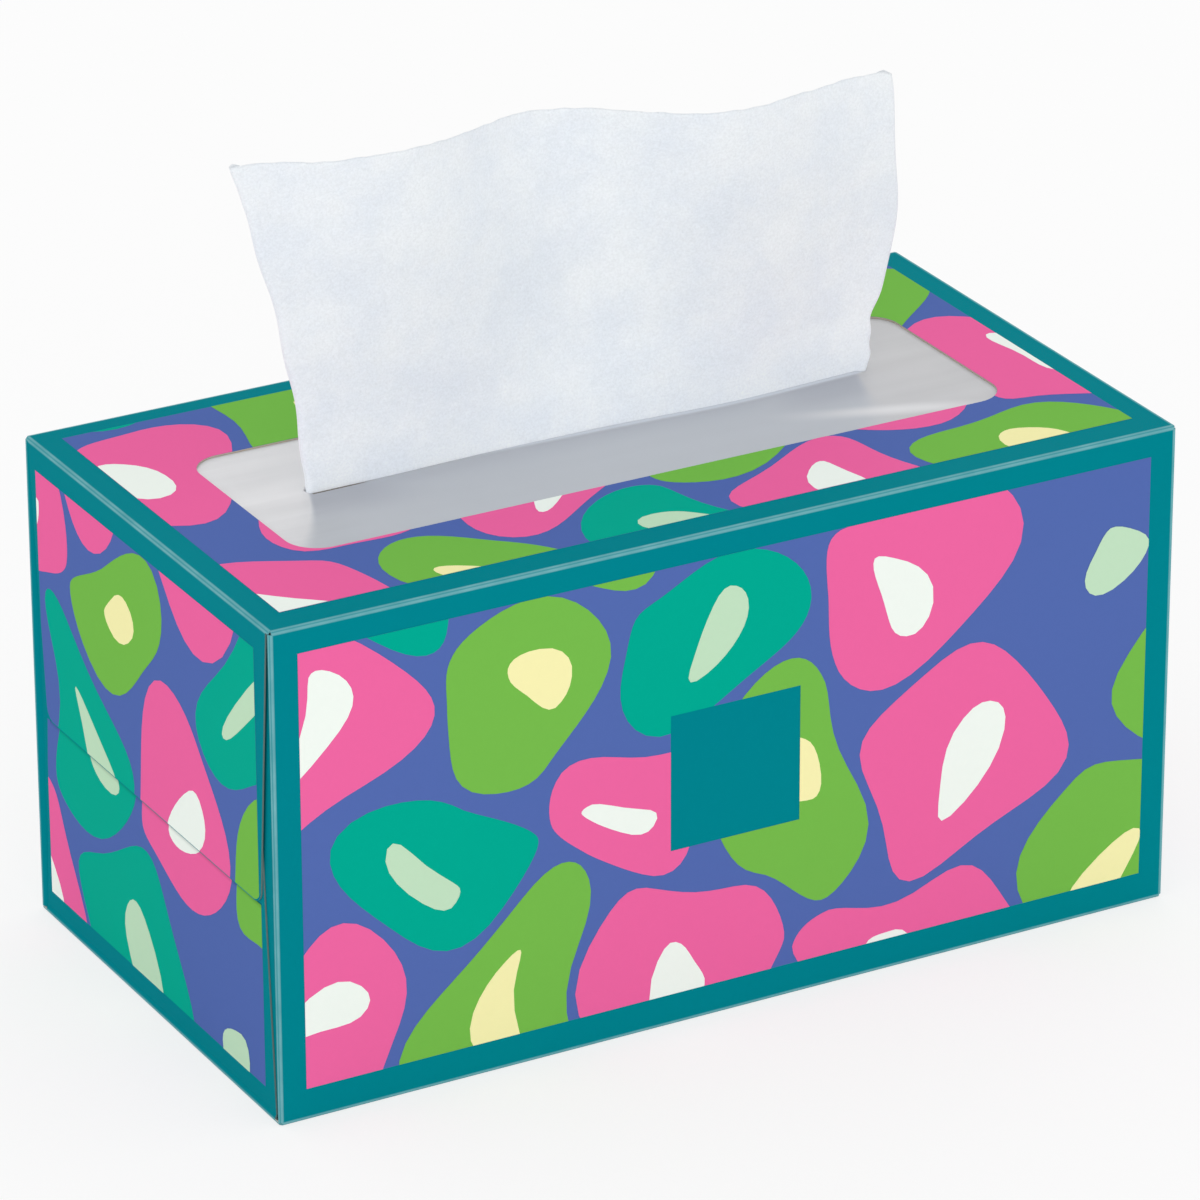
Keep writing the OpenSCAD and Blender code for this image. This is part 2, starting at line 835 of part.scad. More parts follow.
// Lays one ink on every printed panel; each kind of shape lies on the one before it
module print_ink(kind, which) {
    side_low = [-half_length + border_side, border_foot];
    side_high = [half_length - border_side, box_height - border_head];
    top_low = [-half_length + border_side, -half_depth + border_top_front];
    top_high = [half_length - border_side, half_depth - border_top_back];
    lift = kind * ink;
    translate([0, -half_depth - lift, 0])
        rotate([90, 0, 0])
            linear_extrude(height = ink)
                difference() {
                    design(kind, which, side_low, side_high, front_seed);
                    translate([0, box_height / 2 + label_above])
                        square(label_side, center = true);
                }
    translate([0, half_depth + lift, 0])
        rotate([90, 0, 180])
            linear_extrude(height = ink)
                design(kind, which, side_low, side_high, back_seed);
    translate([0, 0, box_height + lift])
        linear_extrude(height = ink)
            difference() {
                design(kind, which, top_low, top_high, top_seed);
                window_outline();
            }
    end_design(kind, which, left_seed, -1);
    end_design(kind, which, right_seed, 1);
}

module print_blue() {
    color(blue) print_ink(GROUND, 0);
}

module print_pink() {
    color(pink) print_ink(LARGE, PINK);
}

module print_green() {
    color(green) print_ink(LARGE, GREEN);
}

module print_jade() {
    color(jade) print_ink(LARGE, JADE);
}

module print_white() {
    color(white) print_ink(SMALL, PINK);
}

module print_cream() {
    color(cream) print_ink(SMALL, GREEN);
}

module print_mint() {
    color(mint) print_ink(SMALL, JADE);
}

carton();
window_film();
film_glue();
seam_glue();
flap_glue();
tissue_stack();
raised_tissue();
print_blue();
print_pink();
print_green();
print_jade();
print_white();
print_cream();
print_mint();
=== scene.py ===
import math

import bpy
import numpy as np
from mathutils import Matrix, Vector


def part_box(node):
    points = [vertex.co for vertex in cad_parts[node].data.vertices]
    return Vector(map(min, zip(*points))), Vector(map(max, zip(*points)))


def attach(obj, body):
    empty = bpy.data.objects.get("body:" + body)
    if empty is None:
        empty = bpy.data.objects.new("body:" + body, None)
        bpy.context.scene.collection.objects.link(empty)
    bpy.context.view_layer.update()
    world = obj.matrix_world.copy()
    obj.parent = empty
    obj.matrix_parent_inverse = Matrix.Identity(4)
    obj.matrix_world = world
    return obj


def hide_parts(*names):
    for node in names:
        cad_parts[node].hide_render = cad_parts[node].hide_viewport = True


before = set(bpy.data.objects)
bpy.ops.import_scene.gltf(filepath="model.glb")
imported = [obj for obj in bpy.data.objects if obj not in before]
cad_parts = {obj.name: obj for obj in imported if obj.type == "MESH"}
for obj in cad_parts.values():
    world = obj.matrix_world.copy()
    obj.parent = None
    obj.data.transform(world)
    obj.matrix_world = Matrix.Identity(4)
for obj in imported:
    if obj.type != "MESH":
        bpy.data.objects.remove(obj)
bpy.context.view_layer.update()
mm = 0.001
print("frame loaded:", len(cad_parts), "nodes")

cartonLow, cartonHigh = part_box("carton")
filmLow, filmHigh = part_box("window_film")
stackLow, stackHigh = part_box("tissue_stack")


# Small helpers for node trees

def linearColour(code):
    values = [int(code[i:i + 2], 16) / 255 for i in (1, 3, 5)]
    return [v / 12.92 if v <= 0.04045 else ((v + 0.055) / 1.055) ** 2.4 for v in values] + [1.0]


def feed(tree, socket, value):  # value is a socket, a colour code or a plain value; None changes nothing
    if isinstance(value, bpy.types.NodeSocket):
        tree.links.new(value, socket)
    elif isinstance(value, str):
        socket.default_value = linearColour(value)
    elif value is not None:
        socket.default_value = value


def newNode(tree, kind, properties=None, **values):  # an underscore in an input's name stands for a space
    node = tree.nodes.new(kind)
    for name, value in (properties or {}).items():
        setattr(node, name, value)
    for name, value in values.items():
        feed(tree, node.inputs[name.replace("_", " ")], value)
    return node


def mathNode(tree, operation, *values):
    node = newNode(tree, "ShaderNodeMath", {"operation": operation})
    for socket, value in zip(node.inputs, values):
        feed(tree, socket, value)
    return node.outputs[0]


def product(tree, *values):
    result = values[0]
    for value in values[1:]:
        result = mathNode(tree, "MULTIPLY", result, value)
    return result


def separate(tree, vector):  # its x, y and z
    return newNode(tree, "ShaderNodeSeparateXYZ", Vector=vector).outputs


def vectorNode(tree, **parts):  # from X, Y and Z
    return newNode(tree, "ShaderNodeCombineXYZ", **parts).outputs[0]


def smoothStep(tree, value, low, high):  # 0 below low and 1 above high, or the other way round
    rising = low < high
    node = newNode(
        tree, "ShaderNodeMapRange", {"interpolation_type": "SMOOTHSTEP"}, Value=value,
        From_Min=min(low, high), From_Max=max(low, high),
        To_Min=0.0 if rising else 1.0, To_Max=1.0 if rising else 0.0,
    )
    return node.outputs["Result"]


def mixColour(tree, factor, first, second):
    node = newNode(tree, "ShaderNodeMix", {"data_type": "RGBA"}, Factor=factor)
    feed(tree, node.inputs[6], first)  # 6, 7 and 2 are the colour sockets of this node
    feed(tree, node.inputs[7], second)
    return node.outputs[2]


def shiftBrightness(tree, colour, amount):  # amount is near 0: +0.02 is two percent brighter
    value = mathNode(tree, "ADD", amount, 1.0)
    return newNode(tree, "ShaderNodeHueSaturation", Value=value, Color=colour).outputs[0]


def noiseNode(tree, place, size, detail=2.0, roughness=0.5, stretch=None):
    if stretch is not None:
        place = newNode(tree, "ShaderNodeMapping", Vector=place, Scale=stretch).outputs[0]
    node = newNode(tree, "ShaderNodeTexNoise", Vector=place, Scale=size, Detail=detail, Roughness=roughness)
    return node.outputs["Fac"]


def centred(tree, value, spread):  # a noise of 0 to 1 made to swing about 0
    return mathNode(tree, "MULTIPLY", mathNode(tree, "SUBTRACT", value, 0.5), spread)


def bumpNode(tree, height, distance, normal=None):
    return newNode(tree, "ShaderNodeBump", Height=height, Distance=distance, Normal=normal).outputs[0]


def pieceAttribute(tree, name):
    return newNode(tree, "ShaderNodeAttribute", {"attribute_name": name}).outputs["Fac"]


dullSpecular = 0.003  # board, ink, glue and tissue hardly shine


def newMaterial(name, roughness, specular=dullSpecular):
    material = bpy.data.materials.new(name)
    material.use_nodes = True
    tree = material.node_tree
    tree.nodes.clear()
    shader = newNode(tree, "ShaderNodeBsdfPrincipled", Roughness=roughness, Specular_IOR_Level=specular)
    newNode(tree, "ShaderNodeOutputMaterial", Surface=shader.outputs[0])
    return material, tree, shader, newNode(tree, "ShaderNodeTexCoord")


def giveMaterial(piece, material):
    piece.data.materials.clear()
    piece.data.materials.append(material)


def giveNodeMaterial(name, material):  # a node of the frame keeps its mesh and only changes its slots
    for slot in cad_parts[name].material_slots:
        slot.material = material


def newPiece(name, points, faces):
    mesh = bpy.data.meshes.new(name)
    mesh.from_pydata(points, [], faces)
    mesh.update()
    piece = bpy.data.objects.new(name, mesh)
    bpy.context.scene.collection.objects.link(piece)
    for polygon in mesh.polygons:
        polygon.use_smooth = True
    return piece


def plainMesh(piece):  # the piece's mesh with its modifiers worked in
    graph = bpy.context.evaluated_depsgraph_get()
    return bpy.data.meshes.new_from_object(piece.evaluated_get(graph))


# Camera, fitted to the corners of the box in the photograph

camera = {
    "azimuth": -28.99,
    "elevation": 24.39,
    "roll": -0.15,
    "distance": 1.6943,
    "target": (-0.0004, 0.0, 0.0774),
    "sensor": 36.0,
    "lens": 222.06,
    "nearest": 0.05,
    "farthest": 20.0,
}


def makeCamera():
    azimuth, elevation, roll = (math.radians(camera[k]) for k in ("azimuth", "elevation", "roll"))
    back = Vector((
        math.sin(azimuth) * math.cos(elevation),
        -math.cos(azimuth) * math.cos(elevation),
        math.sin(elevation),
    ))
    right = (-back).cross(Vector((0, 0, 1))).normalized()
    up = back.cross(right)
    turnedRight = math.cos(roll) * right + math.sin(roll) * up
    turnedUp = -math.sin(roll) * right + math.cos(roll) * up
    data = bpy.data.cameras.new("camera")
    data.sensor_width = camera["sensor"]
    data.lens = camera["lens"]
    data.clip_start, data.clip_end = camera["nearest"], camera["farthest"]
    holder = bpy.data.objects.new("camera", data)
    axes = Matrix((turnedRight, turnedUp, back)).transposed()
    place = Vector(camera["target"]) + camera["distance"] * back
    holder.matrix_world = Matrix.Translation(place) @ axes.to_4x4()
    bpy.context.scene.collection.objects.link(holder)
    bpy.context.scene.camera = holder


makeCamera()
print("camera placed")


# Surface of the print, shared by the board and the inks

printFinish = {
    "toneSize": 9.0,
    "speckleSize": 900.0,
    "speckleShare": 0.6,  # of the tone's spread
    "roughness": 0.42,
    "wearSize": 28.0,
    "wearSpread": 0.08,
    "grainSize": 2200.0,
    "grainDepth": 0.004 * mm,
    "layer": 0.45 * mm,  # from one board's outside to the next one's
    "flapEdge": 51.5 * mm,  # height of the free edge of the outer end flaps
    "flapTip": 7.5 * mm,  # that edge ends this far from the front and back
    "flapShade": 0.3,  # painted shadow right under it
    "flapShadeHeight": 1.6 * mm,
}


def underFlapEdge(tree, spot):  # mask of the painted shadow: 1 right under the free edge of an outer end flap, and 0 elsewhere
    f = printFinish
    x, y, z = separate(tree, spot)
    fromMiddle = mathNode(tree, "ABSOLUTE", x)
    below = mathNode(tree, "SUBTRACT", f["flapEdge"], z)
    return product(
        tree,
        mathNode(tree, "GREATER_THAN", fromMiddle, cartonHigh.x - 3 * f["layer"]),
        mathNode(tree, "LESS_THAN", fromMiddle, cartonHigh.x - f["layer"] / 2),
        mathNode(tree, "LESS_THAN", mathNode(tree, "ABSOLUTE", y), cartonHigh.y - f["flapTip"]),
        mathNode(tree, "GREATER_THAN", below, 0.0),
        smoothStep(tree, below, f["flapShadeHeight"], 0.0),
    )


def addPrintSurface(tree, shader, place, colour, toneSpread):
    f = printFinish
    spot = place.outputs["Object"]
    tone = centred(tree, noiseNode(tree, spot, f["toneSize"]), toneSpread)
    speckle = centred(tree, noiseNode(tree, spot, f["speckleSize"]), toneSpread * f["speckleShare"])
    # painted shadow under the free edges of the outer end flaps, as a darker base colour
    shade = product(tree, underFlapEdge(tree, spot), -f["flapShade"])
    change = mathNode(tree, "ADD", mathNode(tree, "ADD", tone, speckle), shade)
    feed(tree, shader.inputs["Base Color"], shiftBrightness(tree, colour, change))
    wear = centred(tree, noiseNode(tree, spot, f["wearSize"], detail=3.0), f["wearSpread"])
    feed(tree, shader.inputs["Roughness"], mathNode(tree, "ADD", wear, f["roughness"]))
    grain = noiseNode(tree, spot, f["grainSize"])
    feed(tree, shader.inputs["Normal"], bumpNode(tree, grain, f["grainDepth"]))


# Printed board of the carton: print outside, grey board inside, brown-grey where it is cut

board = {
    "teal": "#01818c",
    "toneSpread": 0.05,
    "inside": "#d9d6cf",
    "cut": "#bbae9e",
    "flapCut": "#748481",  # the flaps' cut edges are darker and more teal than the window's cut
    "fibreSize": 700.0,
    "fibreSpread": 0.16,
    "printDepth": 1.4 * mm,  # print lies on outward faces up to this deep in the box
    "insideDepth": 1.6 * mm,
    "squareness": 0.1,  # how squarely a face has to look outwards or inwards
    "crease": "#79b3b9",
    "creaseLine": 0.58 * mm,  # distance of each pale line from the middle of its fold
    "creaseWidth": 0.52 * mm,
    "creaseCore": 0.25,  # share of that width at full strength
    "creaseStrength": 0.75,
    "creaseWear": 0.7,  # how much of the line wears off in spots
    "creaseWearSize": 160.0,
}


def makeBoardMaterial():
    material, tree, shader, place = newMaterial("printed_board", printFinish["roughness"])
    spot = separate(tree, place.outputs["Object"])
    facing = separate(tree, place.outputs["Normal"])
    middle = (cartonLow + cartonHigh) / 2
    half = (cartonHigh - cartonLow) / 2
    depths, printed, inside = [], 0.0, 0.0
    for axis in range(3):
        offset = mathNode(tree, "SUBTRACT", spot[axis], middle[axis])
        depth = mathNode(tree, "SUBTRACT", half[axis], mathNode(tree, "ABSOLUTE", offset))
        outward = product(tree, facing[axis], mathNode(tree, "SIGN", offset))
        near = mathNode(tree, "LESS_THAN", depth, board["printDepth"])
        turnedOut = mathNode(tree, "GREATER_THAN", outward, board["squareness"])
        printed = mathNode(tree, "MAXIMUM", printed, product(tree, near, turnedOut))
        close = mathNode(tree, "LESS_THAN", depth, board["insideDepth"])
        turnedIn = mathNode(tree, "LESS_THAN", outward, -board["squareness"])
        inside = mathNode(tree, "MAXIMUM", inside, product(tree, close, turnedIn))
        depths.append(depth)
    # On any face of the box, the middle one of the three depths is the distance to the nearest fold
    low = mathNode(tree, "MINIMUM", depths[0], depths[1])
    high = mathNode(tree, "MAXIMUM", depths[0], depths[1])
    toFold = mathNode(tree, "MAXIMUM", low, mathNode(tree, "MINIMUM", high, depths[2]))
    fromLine = mathNode(tree, "ABSOLUTE", mathNode(tree, "SUBTRACT", toFold, board["creaseLine"]))
    line = smoothStep(tree, fromLine, board["creaseWidth"], board["creaseWidth"] * board["creaseCore"])
    worn = noiseNode(tree, place.outputs["Object"], board["creaseWearSize"], detail=3.0)
    least = board["creaseStrength"] - board["creaseWear"] / 2
    line = product(tree, line, mathNode(tree, "MULTIPLY_ADD", worn, board["creaseWear"], least))
    teal = mixColour(tree, line, board["teal"], board["crease"])
    atEnds = mathNode(tree, "LESS_THAN", depths[0], board["printDepth"])
    cut = mixColour(tree, atEnds, board["cut"], board["flapCut"])
    fibre = noiseNode(tree, place.outputs["Object"], board["fibreSize"], detail=4.0)
    raw = mixColour(tree, inside, cut, board["inside"])
    raw = shiftBrightness(tree, raw, centred(tree, fibre, board["fibreSpread"]))
    colour = mixColour(tree, printed, raw, teal)
    addPrintSurface(tree, shader, place, colour, board["toneSpread"])
    return material


giveNodeMaterial("carton", makeBoardMaterial())
print("carton board finished")


# Inks of the printed design, one node each

inks = {
    "toneSpread": 0.035,
    "colours": {
        "print_blue": "#5269ac",
        "print_pink": "#eb65a0",
        "print_green": "#74b84b",
        "print_jade": "#02a78f",
        "print_white": "#eef5ee",
        "print_cream": "#f5efb1",
        "print_mint": "#bfdebf",
    },
}

for nodeName, code in inks["colours"].items():
    inkMaterial, inkTree, inkShader, inkPlace = newMaterial(nodeName + "_ink", printFinish["roughness"])
    addPrintSurface(inkTree, inkShader, inkPlace, code, inks["toneSpread"])
    giveNodeMaterial(nodeName, inkMaterial)
print("inks finished:", len(inks["colours"]))


# Glue lines between the boards

glue = {"colour": "#ece6d2", "dark": "#cfc39f", "roughness": 0.38, "blotchSize": 160.0, "depth": 0.02 * mm}


def makeGlueMaterial():
    material, tree, shader, place = newMaterial("carton_glue", glue["roughness"])
    blotch = noiseNode(tree, place.outputs["Object"], glue["blotchSize"], detail=4.0)
    feed(tree, shader.inputs["Base Color"], mixColour(tree, blotch, glue["dark"], glue["colour"]))
    feed(tree, shader.inputs["Normal"], bumpNode(tree, blotch, glue["depth"]))
    return material


glueMaterial = makeGlueMaterial()
for nodeName in ("film_glue", "seam_glue", "flap_glue"):
    giveNodeMaterial(nodeName, glueMaterial)
print("glue finished")


# Soft two-ply tissue

tissuePaper = {
    "light": "#f8fcff",
    "shade": "#eff5fc",
    "cloudSize": 55.0,
    "cloudLow": 0.3,
    "cloudHigh": 0.7,
    "mottleSize": 300.0,
    "mottleSpread": 0.045,
    "fleckSize": 1700.0,
    "fleckSpread": 0.34,
    "tipLow": 115 * mm,  # painted shade: the drawn-up sheet is a touch darker towards its top
    "tipHigh": 170 * mm,
    "tipShade": 0.095,
    "fibreSize": 1500.0,
    "fibreDepth": 0.03 * mm,
    "crepeSize": 520.0,
    "crepeStretch": (0.35, 0.35, 2.2),  # the crepe lies across the way the sheet is drawn
    "crepeDepth": 0.05 * mm,
    "sheen": 0.25,
    "sheenRoughness": 0.6,
    "roughness": 0.92,
}


def makeTissueMaterial(name):
    t = tissuePaper
    material, tree, shader, place = newMaterial(name, t["roughness"])
    spot = place.outputs["Object"]
    cloud = noiseNode(tree, spot, t["cloudSize"], detail=5.0, roughness=0.6)
    cloud = smoothStep(tree, cloud, t["cloudLow"], t["cloudHigh"])
    colour = mixColour(tree, cloud, t["shade"], t["light"])
    mottle = noiseNode(tree, spot, t["mottleSize"], detail=4.0, roughness=0.6)
    fleck = noiseNode(tree, spot, t["fleckSize"], detail=6.0, roughness=0.7)
    tone = mathNode(
        tree, "ADD", centred(tree, mottle, t["mottleSpread"]), centred(tree, fleck, t["fleckSpread"]),
    )
    # painted shade, darker towards the top of the drawn-up sheet
    tip = smoothStep(tree, separate(tree, spot)["Z"], t["tipLow"], t["tipHigh"])
    tone = mathNode(tree, "MULTIPLY_ADD", tip, -t["tipShade"], tone)
    feed(tree, shader.inputs["Base Color"], shiftBrightness(tree, colour, tone))
    shader.inputs["Sheen Weight"].default_value = t["sheen"]
    shader.inputs["Sheen Roughness"].default_value = t["sheenRoughness"]
    crepe = noiseNode(tree, spot, t["crepeSize"], detail=3.0, roughness=0.6, stretch=t["crepeStretch"])
    fibre = noiseNode(tree, spot, t["fibreSize"], detail=4.0, roughness=0.65)
    soft = bumpNode(tree, crepe, t["crepeDepth"])
    feed(tree, shader.inputs["Normal"], bumpNode(tree, fibre, t["fibreDepth"], soft))
    return material


# Raised tissue: it lies on the stack, bends up and stands through the slit in one shallow wave

raised = {
    "width": 213 * mm,
    "length": 208 * mm,
    "thickness": 0.3 * mm,
    "gap": 0.3 * mm,  # between the stack and the lying part
    "backInset": 2 * mm,  # the lying part starts this far in front of the stack's back
    "bendRadius": 8 * mm,
    "raisedHeight": 75.6 * mm,  # above the box, in the middle of the top edge
    "slope": 9.1 * mm,  # the top edge's left end stands this much higher than its right one
    "lineY": 1.5 * mm,  # the standing sheet's line behind the middle of the box
    "lineX": -1.5 * mm,  # its middle along the box, and how that strays on the way up
    "driftX": 11.4 * mm,
    "bendX": -16.1 * mm,
    "marginBase": 34.3 * mm,  # width of the sides that are folded over behind, at the slit
    "marginTop": 18.1 * mm,
    "turnBase": 176.0,  # how far the sides are folded over, in degrees
    "turnTop": 158.0,
    "turnLength": 4 * mm,  # length of sheet that each fold takes
    "flapDrop": 10 * mm,  # how far the folded sides hang lower at their free edges
    "baseWaves": [(1, 0.6, -2.7), (3, 0.4, 1.0)],  # waves across, steepness of sine and cosine in degrees
    "topWaves": [(1, -5.6, -5.2), (2, 21.4, 8.7), (3, -3.6, 0.0)],
    "marginSteps": 14,
    "turnSteps": 12,
    "mainSteps": 140,
    "lieRows": 26,
    "bendRows": 14,
    "standRows": 100,
    # Top edge. Each pair called Rise is where something sets in on the way up, and where it is full
    "softCorner": 1.0 * mm,  # how much the corners are lowered, how far in, and over what width
    "cornerReach": 1.5 * mm,
    "cornerWidth": 2 * mm,
    "cornerRise": (0.93, 1),
    "cornerTuck": 1.0 * mm,  # the top left corner stands this much further in
    "tuckRise": (0.88, 1),
    "tuckPower": 6,  # the higher, the closer to the corner
    "topDrop": 0.35 * mm,  # the whole edge lies this much lower
    # Shallow hollows: place across from 0 to 1, half width, depth
    "hollows": [
        (0.13, 0.06, 0.8 * mm),
        (0.375, 0.05, 0.55 * mm),
        (0.62, 0.1, 0.25 * mm),
        (0.88, 0.04, 0.45 * mm),
    ],
    "hollowRise": (0.75, 1),
    "cutRipple": 0.14 * mm,
    "cutRise": (0.96, 1),
    # Crossed waves: share, then turn for each mm across, for each mm up, and start, of both waves
    "cutWaves": [(1, (0.23, 0, 0), (0.61, 0, 1)), (0.6, (1.3, 0, 0), (0.17, 0, 2))],
    # Shallow creases and dents of the standing sheet
    "dent": 0.4 * mm,
    "dentRise": (0.08, 0.33),
    "dentWaves": [
        (1, (0.031, 0.047, 0.6), (0.052, -0.038, 1.9)),
        (0.45, (0.11, 0.06, 0.4), (0.05, -0.13, 0)),
        (0.22, (0.23, -0.15, 2.2), (0.17, 0.21, 0)),
    ],
    # Ripples of both sides: size, length as a share of the way up, start
    "leftRipple": (0.35 * mm, 0.28, 0.2),
    "rightRipple": (0.9 * mm, 0.47, -0.13),
    "rippleRise": (0.06, 0.12),
    "ripplePower": 3,  # the higher, the closer to the side
    # Small dents of the right side: place on the way up from 0 to 1, half height, how far out
    "rightDents": [(0.125, 0.042, -1.55 * mm), (0.21, 0.052, -2.25 * mm)],
}


def ease(t):
    c = np.clip(t, 0, 1)
    return c * c * (3 - 2 * c)


def setIn(value, ends):  # 0 before the first of the two ends, 1 after the second
    return ease((value - ends[0]) / (ends[1] - ends[0]))


def bumps(value, places):  # the sum of soft bumps: place, half width, height
    return sum(height * np.exp(-((value - at) / wide) ** 2) for at, wide, height in places)


def crossedWaves(waves, u, v):
    total = 0
    for share, first, second in waves:
        crossed = [np.sin(wave[0] * u + wave[1] * v + wave[2]) for wave in (first, second)]
        total = total + share * crossed[0] * crossed[1]
    return total


def standHeight():
    return stackHigh.z + raised["gap"] + raised["thickness"] / 2 + raised["bendRadius"]


def standLength():
    return cartonHigh.z + raised["raisedHeight"] - standHeight()


def sheetRow(rise, gather):  # one line across the sheet: its stations, and x, depth and heading at each
    r = raised
    margin = r["marginBase"] + (r["marginTop"] - r["marginBase"]) * rise
    margin = r["turnLength"] / 2 + (margin - r["turnLength"] / 2) * gather
    first, last = margin - r["turnLength"] / 2, margin + r["turnLength"] / 2
    s = np.concatenate([
        np.linspace(0, first, r["marginSteps"], endpoint=False),
        np.linspace(first, last, r["turnSteps"], endpoint=False),
        np.linspace(last, r["width"] - last, r["mainSteps"], endpoint=False),
        np.linspace(r["width"] - last, r["width"] - first, r["turnSteps"], endpoint=False),
        np.linspace(r["width"] - first, r["width"], r["marginSteps"] + 1),
    ])

    def heading(at):
        turn = r["turnBase"] + (r["turnTop"] - r["turnBase"]) * rise
        left = ease((at - margin) / r["turnLength"] + 0.5)
        right = ease((at - r["width"] + margin) / r["turnLength"] + 0.5)
        across = 2 * np.pi * np.clip((at - margin) / (r["width"] - 2 * margin), 0, 1)
        waves = 0
        for share, waveList in ((1 - rise, r["baseWaves"]), (rise, r["topWaves"])):
            for count, sine, cosine in waveList:
                waves = waves + share * (sine * np.sin(count * across) + cosine * np.cos(count * across))
        return np.radians(turn * (left + right - 1) - waves * gather)

    steps = np.diff(s)
    middles = heading(s[:-1] + steps / 2)
    x = np.concatenate([[0], np.cumsum(steps * np.cos(middles))])
    depth = np.concatenate([[0], np.cumsum(steps * np.sin(middles))])
    x -= (x.min() + x.max()) / 2
    main = slice(r["marginSteps"] + r["turnSteps"], r["marginSteps"] + r["turnSteps"] + r["mainSteps"] + 1)
    sway = r["lineX"] + r["driftX"] * rise + r["bendX"] * rise * rise
    return s, x + sway * gather, depth, heading(s), first, main


def climbOfRow(s, x, across, first, rise):  # how high each station stands above the bend
    r = raised
    climb = rise * (standLength() - r["slope"] * x / (r["width"] - 2 * r["marginTop"]))
    # The folded sides hang lower, the top corners are soft and the cut edge isn't quite straight
    side = np.maximum(first - s, s - r["width"] + first) / max(first, 1e-6)
    climb = climb - rise * r["flapDrop"] * np.maximum(side, 0)
    inFromFold = np.minimum(s, r["width"] - s) - first
    corner = bumps(inFromFold, [(r["cornerReach"], r["cornerWidth"], r["softCorner"])])
    climb = climb - corner * setIn(rise, r["cornerRise"])
    climb = climb - (r["topDrop"] + bumps(across, r["hollows"])) * setIn(rise, r["hollowRise"])
    return climb + r["cutRipple"] * crossedWaves(r["cutWaves"], s / mm, 0) * setIn(rise, r["cutRise"])


def shiftOfRow(across, rise):  # how far the sides stray along the box on their way up
    r = raised
    size, length, start = r["leftRipple"]
    left = size * np.sin(2 * np.pi * (rise / length + start))
    size, length, start = r["rightRipple"]
    right = size * np.cos(2 * np.pi * (rise / length + start)) * (1 - rise / 2) + bumps(rise, r["rightDents"])
    ripple = (1 - across) ** r["ripplePower"] * left + across ** r["ripplePower"] * right
    begin, end = r["tuckRise"]
    tuck = r["cornerTuck"] * (1 - across) ** r["tuckPower"] * max(rise - begin, 0) / (end - begin)
    return tuck + ripple * setIn(rise, r["rippleRise"])


def closedGrid(rows, columns):  # faces of a sheet with a front grid, a back grid after it, and four edges
    count = rows * columns
    quads = []
    for row in range(rows - 1):
        for column in range(columns - 1):
            a = row * columns + column
            b = a + columns
            quads.append((a, a + 1, b + 1, b))
            quads.append((count + a, count + b, count + b + 1, count + a + 1))
    for row in range(rows - 1):
        a, b = row * columns, (row + 1) * columns
        quads.append((a, b, count + b, count + a))
        c, d = a + columns - 1, b + columns - 1
        quads.append((c, count + c, count + d, d))
    for column in range(columns - 1):
        quads.append((column, count + column, count + column + 1, column + 1))
        e = count - columns + column
        quads.append((e, e + 1, count + e + 1, count + e))
    return quads


def makeRaisedTissue():
    r = raised
    rows = r["lieRows"] + r["bendRows"] + r["standRows"] + 1
    lieHeight = standHeight() - r["bendRadius"]
    lieStart = stackHigh.y - r["backInset"]
    lieLength = lieStart - r["lineY"] - r["bendRadius"]
    plies = {-1: [], 1: []}
    for row in range(rows):
        rise = max(row - r["lieRows"] - r["bendRows"], 0) / r["standRows"]
        gather = float(ease(row / r["lieRows"]))
        s, x, depth, turn, first, main = sheetRow(rise, gather)
        tilt = math.pi / 2 * min(max(row - r["lieRows"], 0) / r["bendRows"], 1)
        if row < r["lieRows"]:
            y, z = lieStart - lieLength * row / r["lieRows"], lieHeight
        else:
            y = r["lineY"] + r["bendRadius"] * (1 - math.sin(tilt))
            z = lieHeight + r["bendRadius"] * (1 - math.cos(tilt))
        depth = depth - depth.min() * (1 - math.sin(tilt)) - depth[main].mean() * math.sin(tilt)
        across = np.clip((x - x.min()) / (x.max() - x.min()), 0, 1)
        climb = climbOfRow(s, x, across, first, rise)
        x = x + shiftOfRow(across, rise)
        dent = r["dent"] * crossedWaves(r["dentWaves"], x / mm, rise * standLength() / mm)
        dent = dent * setIn(rise, r["dentRise"])
        for ply in plies:
            off = depth + ply * r["thickness"] / 2 * np.cos(turn) + dent
            along = x - ply * r["thickness"] / 2 * np.sin(turn)
            back, up = y + off * math.sin(tilt), z + climb + off * math.cos(tilt)
            plies[ply].append(np.stack([along, back, up], 1))
    points = np.concatenate(plies[-1] + plies[1])
    area = r["width"] * (lieLength + math.pi / 2 * r["bendRadius"] + standLength())
    return newPiece("soft_tissue", points.tolist(), closedGrid(rows, len(s))), area


softTissue, modelledArea = makeRaisedTissue()
giveMaterial(softTissue, makeTissueMaterial("soft_tissue_paper"))
print("raised tissue made:", len(softTissue.data.polygons), "faces")


# Stack of interfolded sheets, one rounded layer for each pair of folds

stack = {
    "layers": 90,
    "shift": 0.5 * mm,  # how far a layer may lie off its place
    "corner": 0.45,  # share of a layer's height that each rounded corner takes
    "cornerSteps": 3,
    "seed": 4,
}


def addInput(group, name, kind, value):
    socket = group.interface.new_socket(name=name, in_out="INPUT", socket_type=kind)
    socket.default_value = value
    return socket.identifier


